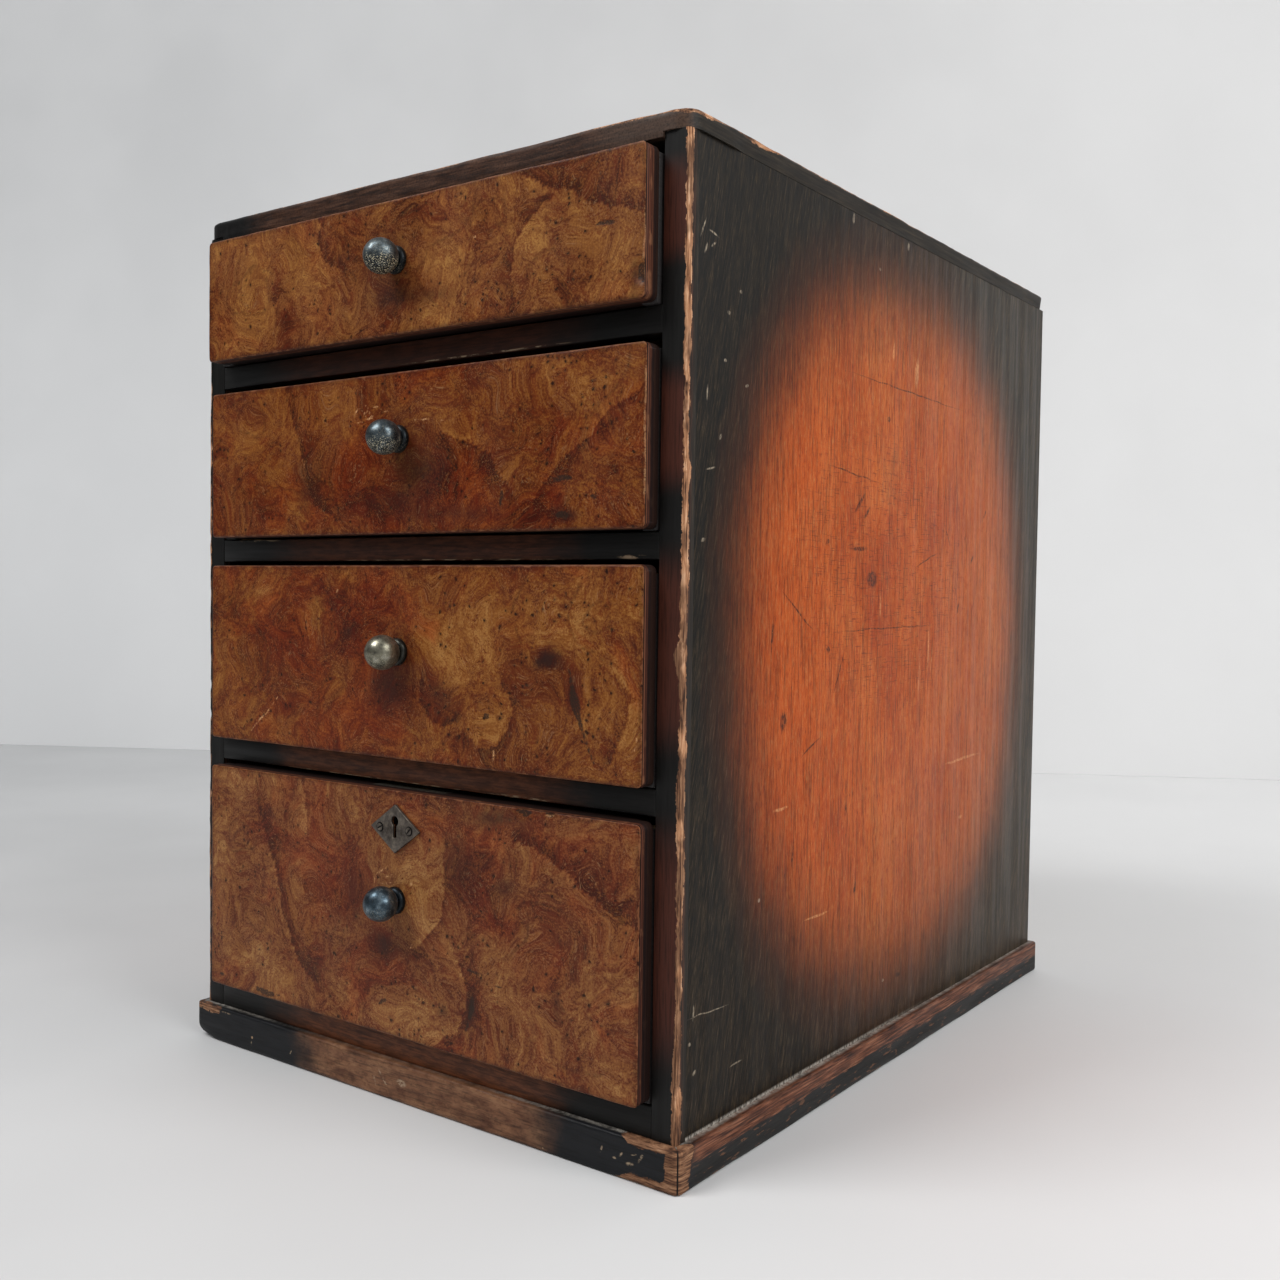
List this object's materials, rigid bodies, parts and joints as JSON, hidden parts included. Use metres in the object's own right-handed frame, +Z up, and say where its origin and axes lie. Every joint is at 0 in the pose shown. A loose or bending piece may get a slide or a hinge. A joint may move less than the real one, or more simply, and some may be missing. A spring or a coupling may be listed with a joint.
{
  "type": "desktop drawer chest",
  "caption": "Small upright wooden chest with graduated burl-fronted drawers, ball knobs, a drawer lock, a mitred plinth and dark lacquered sides shaded to a red-brown middle.",
  "frame": {"origin": "middle of the case's front face line, on the surface that the chest stands on", "axes": "+X to the right seen from the front, +Y to the back, +Z up; drawers pull out along -Y"},
  "size_m": [0.281, 0.3874, 0.385],
  "materials": {
    "case_lacquer": "satin",
    "plinth_lacquer": "satin",
    "lipping_wood": "matte",
    "back_ply": "matte",
    "runner_wood": "matte",
    "front_core": "satin",
    "burl_veneer": "satin",
    "drawer_wood": "matte",
    "drawer_ply": "matte",
    "knob_metal": "satin",
    "iron": "matte",
    "lock_steel": "satin",
    "lock_brass": "satin",
    "escutcheon_brass": "satin"
  },
  "bodies": {
    "case": {"top_board": "case_lacquer", "side_left": "case_lacquer", "side_right": "case_lacquer", "lipping_left": "lipping_wood", "lipping_right": "lipping_wood", "back_panel": "back_ply", "bottom_board": "case_lacquer", "rail_1": "case_lacquer", "rail_2": "case_lacquer", "rail_3": "case_lacquer", "runner_1_left": "runner_wood", "runner_1_right": "runner_wood", "runner_2_left": "runner_wood", "runner_2_right": "runner_wood", "runner_3_left": "runner_wood", "runner_3_right": "runner_wood", "drawer_stops": "runner_wood", "back_nails": "iron", "plinth_front": "plinth_lacquer", "plinth_back": "plinth_lacquer", "plinth_left": "plinth_lacquer", "plinth_right": "plinth_lacquer"},
    "drawer_1": {"drawer_1_front": "front_core", "drawer_1_veneer": "burl_veneer", "drawer_1_side_left": "drawer_wood", "drawer_1_side_right": "drawer_wood", "drawer_1_back": "drawer_wood", "drawer_1_bottom": "drawer_ply", "drawer_1_knob": "knob_metal", "drawer_1_knob_screw": "iron"},
    "drawer_2": {"drawer_2_front": "front_core", "drawer_2_veneer": "burl_veneer", "drawer_2_side_left": "drawer_wood", "drawer_2_side_right": "drawer_wood", "drawer_2_back": "drawer_wood", "drawer_2_bottom": "drawer_ply", "drawer_2_knob": "knob_metal", "drawer_2_knob_screw": "iron"},
    "drawer_3": {"drawer_3_front": "front_core", "drawer_3_veneer": "burl_veneer", "drawer_3_side_left": "drawer_wood", "drawer_3_side_right": "drawer_wood", "drawer_3_back": "drawer_wood", "drawer_3_bottom": "drawer_ply", "drawer_3_knob": "knob_metal", "drawer_3_knob_screw": "iron"},
    "drawer_4": {"drawer_4_front": "front_core", "drawer_4_veneer": "burl_veneer", "drawer_4_side_left": "drawer_wood", "drawer_4_side_right": "drawer_wood", "drawer_4_back": "drawer_wood", "drawer_4_bottom": "drawer_ply", "drawer_4_knob": "knob_metal", "drawer_4_knob_screw": "iron", "lock_case": "lock_steel", "escutcheon": "escutcheon_brass", "escutcheon_screws": "escutcheon_brass"},
    "lock_bolt": {"lock_bolt": "lock_brass"}
  },
  "joints": [
    {"name": "drawer_1_slide", "type": "slide", "parent": "case", "child": "drawer_1", "axis": [0, -1, 0], "range_m": [-0.002, 0.26]},
    {"name": "drawer_2_slide", "type": "slide", "parent": "case", "child": "drawer_2", "axis": [0, -1, 0], "range_m": [0, 0.26]},
    {"name": "drawer_3_slide", "type": "slide", "parent": "case", "child": "drawer_3", "axis": [0, -1, 0], "range_m": [0, 0.26]},
    {"name": "drawer_4_slide", "type": "slide", "parent": "case", "child": "drawer_4", "axis": [0, -1, 0], "range_m": [0, 0.26]},
    {"name": "lock_bolt_slide", "type": "slide", "parent": "drawer_4", "child": "lock_bolt", "axis": [0, 0, 1], "range_m": [0, 0.006]}
  ]
}
